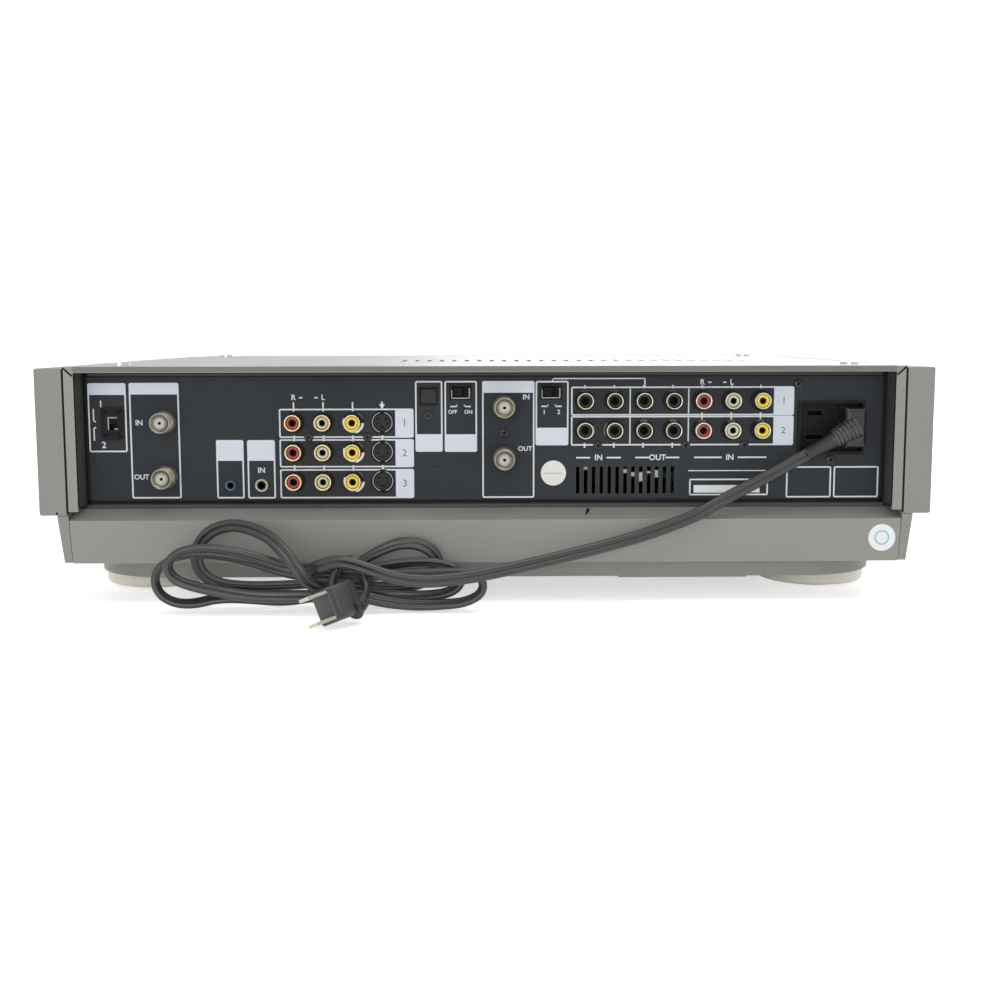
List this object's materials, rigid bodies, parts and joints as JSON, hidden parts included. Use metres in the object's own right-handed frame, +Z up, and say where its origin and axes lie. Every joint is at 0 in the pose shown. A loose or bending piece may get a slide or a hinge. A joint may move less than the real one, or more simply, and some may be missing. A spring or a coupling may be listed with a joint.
{
  "type": "video cassette recorder",
  "caption": "Video cassette recorder with a rear connector panel, thick side panels, round feet and a coiled mains cord; front flap, buttons and dial.",
  "frame": {"origin": "on the floor under the middle of the recorder's box, cord left out", "axes": "+Z up, +Y towards the rear panel with the sockets, +X to the right seen from the front"},
  "size_m": [0.46, 0.4598, 0.1237],
  "materials": {
    "champagne_paint": "satin",
    "champagne_board": "satin",
    "dark_screws": "satin",
    "cream_plastic": "satin",
    "panel_print": "matte",
    "label_paper": "satin",
    "pad_rubber": "matte",
    "charcoal_panel": "matte",
    "nickel": "satin",
    "black_plastic": "matte",
    "red_plastic": "gloss",
    "white_plastic": "gloss",
    "yellow_plastic": "gloss",
    "cord_vinyl": "satin",
    "blade_brass": "satin",
    "front_black": "satin",
    "smoked_window": "gloss",
    "dial_metal": "satin",
    "deck_aluminium": "satin",
    "reel_plastic": "satin",
    "steel_wheel": "satin",
    "board_green": "satin"
  },
  "bodies": {
    "chassis": {"top_cover": "champagne_paint", "cover_screws": "champagne_paint", "side_panel_left": "champagne_board", "side_panel_right": "champagne_board", "side_skirt_left": "champagne_paint", "side_skirt_right": "champagne_paint", "base_chassis": "champagne_paint", "bottom_tub": "champagne_paint", "service_plate": "champagne_paint", "feet": "cream_plastic", "foot_pads": "pad_rubber", "bottom_screws": "dark_screws", "rear_panel": "charcoal_panel", "rear_panel_screws": "dark_screws", "f_connectors": "nickel", "av_jack_block": "black_plastic", "decoder_jack_block": "black_plastic", "rca_shells": "nickel", "rca_inserts_red": "red_plastic", "rca_inserts_white": "white_plastic", "rca_inserts_yellow": "yellow_plastic", "rca_inserts_black": "black_plastic", "s_video_sockets": "black_plastic", "control_jacks": "black_plastic", "switch_bodies": "black_plastic", "optical_socket": "black_plastic", "ac_socket_block": "black_plastic", "cord_connector": "cord_vinyl", "power_lead": "cord_vinyl", "power_hank": "cord_vinyl", "plug_tail": "cord_vinyl", "mains_plug": "cord_vinyl", "plug_blades": "blade_brass", "front_panel": "front_black", "display_window": "smoked_window", "headphone_jack": "black_plastic", "mech_deck": "deck_aluminium", "drum_base": "deck_aluminium", "main_board": "board_green", "power_supply": "board_green"},
    "power_button": {"power_button": "front_black"},
    "eject_button": {"eject_button": "front_black"},
    "record_button": {"record_button": "front_black"},
    "rewind_button": {"rewind_button": "front_black"},
    "stop_button": {"stop_button": "front_black"},
    "play_button": {"play_button": "front_black"},
    "pause_button": {"pause_button": "front_black"},
    "fast_forward_button": {"fast_forward_button": "front_black"},
    "shuttle_ring": {"shuttle_ring": "dial_metal"},
    "jog_dial": {"jog_dial": "dial_metal"},
    "cassette_door": {"cassette_door": "front_black"},
    "channel_switch_lever": {"channel_switch_lever": "black_plastic"},
    "converter_switch_lever": {"converter_switch_lever": "black_plastic"},
    "decoder_switch_lever": {"decoder_switch_lever": "black_plastic"},
    "optical_shutter": {"optical_shutter": "black_plastic"},
    "head_drum": {"head_drum": "deck_aluminium"},
    "supply_reel_table": {"supply_reel_table": "reel_plastic"},
    "take_up_reel_table": {"take_up_reel_table": "reel_plastic"},
    "capstan_flywheel": {"capstan_flywheel": "steel_wheel"},
    "cassette_holder": {"cassette_holder": "deck_aluminium"}
  },
  "joints": [
    {"name": "power_button_press", "type": "slide", "parent": "chassis", "child": "power_button", "axis": [0, 1, 0], "range_m": [0, 0.0012], "stiffness_N_per_m": 300},
    {"name": "eject_button_press", "type": "slide", "parent": "chassis", "child": "eject_button", "axis": [0, 1, 0], "range_m": [0, 0.0012], "stiffness_N_per_m": 300},
    {"name": "record_button_press", "type": "slide", "parent": "chassis", "child": "record_button", "axis": [0, 1, 0], "range_m": [0, 0.0012], "stiffness_N_per_m": 300},
    {"name": "rewind_button_press", "type": "slide", "parent": "chassis", "child": "rewind_button", "axis": [0, 1, 0], "range_m": [0, 0.0012], "stiffness_N_per_m": 300},
    {"name": "stop_button_press", "type": "slide", "parent": "chassis", "child": "stop_button", "axis": [0, 1, 0], "range_m": [0, 0.0012], "stiffness_N_per_m": 300},
    {"name": "play_button_press", "type": "slide", "parent": "chassis", "child": "play_button", "axis": [0, 1, 0], "range_m": [0, 0.0012], "stiffness_N_per_m": 300},
    {"name": "pause_button_press", "type": "slide", "parent": "chassis", "child": "pause_button", "axis": [0, 1, 0], "range_m": [0, 0.0012], "stiffness_N_per_m": 300},
    {"name": "fast_forward_button_press", "type": "slide", "parent": "chassis", "child": "fast_forward_button", "axis": [0, 1, 0], "range_m": [0, 0.0012], "stiffness_N_per_m": 300},
    {"name": "shuttle_turn", "type": "hinge", "parent": "chassis", "child": "shuttle_ring", "pos_m": [0.168, -0.1775, 0.086], "axis": [0, -1, 0], "range_deg": [-75, 75], "stiffness_Nm_per_rad": 0.05},
    {"name": "jog_turn", "type": "hinge", "parent": "chassis", "child": "jog_dial", "pos_m": [0.168, -0.1775, 0.086], "axis": [0, -1, 0], "continuous": true},
    {"name": "cassette_door_fold", "type": "hinge", "parent": "chassis", "child": "cassette_door", "pos_m": [-0.0925, -0.1762, 0.10365], "axis": [1, 0, 0], "range_deg": [0, 85], "stiffness_Nm_per_rad": 0.01},
    {"name": "channel_switch_slide", "type": "slide", "parent": "chassis", "child": "channel_switch_lever", "axis": [0, 0, -1], "range_m": [0, 0.003]},
    {"name": "converter_switch_slide", "type": "slide", "parent": "chassis", "child": "converter_switch_lever", "axis": [-1, 0, 0], "range_m": [0, 0.003]},
    {"name": "decoder_switch_slide", "type": "slide", "parent": "chassis", "child": "decoder_switch_lever", "axis": [-1, 0, 0], "range_m": [0, 0.003]},
    {"name": "optical_shutter_fold", "type": "hinge", "parent": "chassis", "child": "optical_shutter", "pos_m": [0.0302, 0.17585, 0.11005], "axis": [-1, 0, 0], "range_deg": [0, 80], "stiffness_Nm_per_rad": 0.0005},
    {"name": "head_drum_spin", "type": "hinge", "parent": "chassis", "child": "head_drum", "pos_m": [-0.0925, -0.052, 0.07], "axis": [0, 0, 1], "continuous": true},
    {"name": "supply_reel_spin", "type": "hinge", "parent": "chassis", "child": "supply_reel_table", "pos_m": [-0.1155, -0.118, 0.064], "axis": [0, 0, 1], "continuous": true},
    {"name": "take_up_reel_spin", "type": "hinge", "parent": "chassis", "child": "take_up_reel_table", "pos_m": [-0.0695, -0.118, 0.064], "axis": [0, 0, 1], "continuous": true},
    {"name": "capstan_spin", "type": "hinge", "parent": "chassis", "child": "capstan_flywheel", "pos_m": [-0.062, -0.066, 0.06], "axis": [0, 0, 1], "continuous": true},
    {"name": "cassette_holder_lower", "type": "slide", "parent": "chassis", "child": "cassette_holder", "axis": [0, 0, -1], "range_m": [0, 0.017]}
  ]
}
